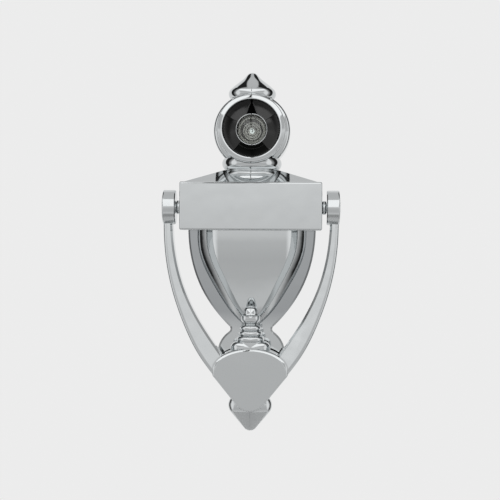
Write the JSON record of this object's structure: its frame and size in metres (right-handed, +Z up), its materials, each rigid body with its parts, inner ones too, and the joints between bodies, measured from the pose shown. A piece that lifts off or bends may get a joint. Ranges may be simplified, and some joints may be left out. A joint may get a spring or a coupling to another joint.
{
  "type": "door knocker with viewer",
  "caption": "Urn-shaped cast door knocker with a swinging bail, a round door viewer above it and a through-door fixing stud.",
  "frame": {"origin": "on the door's outer face, on the axis of the viewer's barrel", "axes": "+Z up the door, the front of the knocker faces -Y, +Y runs through the door along the barrel"},
  "size_m": [0.076, 0.0799, 0.1536],
  "materials": {
    "chrome_casting": "bright chrome plate on a polished zinc casting",
    "chrome_bail": "bright chrome plate on a polished zinc casting",
    "chrome_trim": "bright chrome plate on turned brass",
    "black_plastic": "glossy black moulded plastic",
    "brass_tube": "turned bare brass",
    "optical_glass": "clear polished lens glass",
    "zinc_steel": "bright zinc-plated steel"
  },
  "bodies": {
    "mounted_body": {"knocker_body": "chrome_casting", "viewer_bezel_ring": "chrome_trim", "viewer_funnel": "black_plastic", "outer_barrel": "brass_tube", "front_lens": "optical_glass", "lens_spacer_front": "brass_tube", "middle_lens": "optical_glass", "lens_spacer_rear": "brass_tube", "rear_lens": "optical_glass", "lens_retaining_ring": "brass_tube", "pivot_pin_left": "chrome_trim", "pivot_pin_right": "chrome_trim", "pivot_bush_left": "chrome_trim", "pivot_bush_right": "chrome_trim", "strike_stud": "chrome_trim", "fixing_stud": "zinc_steel"},
    "swinging_bail": {"bail": "chrome_bail"},
    "eyepiece": {"inner_sleeve": "chrome_trim", "eye_lens": "optical_glass", "eye_lens_ring": "brass_tube"},
    "inside_nut": {"fixing_washer": "zinc_steel", "cap_nut": "chrome_trim"}
  },
  "joints": [
    {"name": "bail_swing", "type": "hinge", "parent": "mounted_body", "child": "swinging_bail", "pos_m": [0, -0.0155, -0.0331], "axis": [-1, 0, 0], "range_deg": [0, 162]},
    {"name": "sleeve_screw", "type": "slide", "parent": "mounted_body", "child": "eyepiece", "axis": [0, 1, 0], "range_m": [-0.009, 0.034]},
    {"name": "nut_screw", "type": "slide", "parent": "mounted_body", "child": "inside_nut", "axis": [0, 1, 0], "range_m": [0, 0.045]}
  ]
}
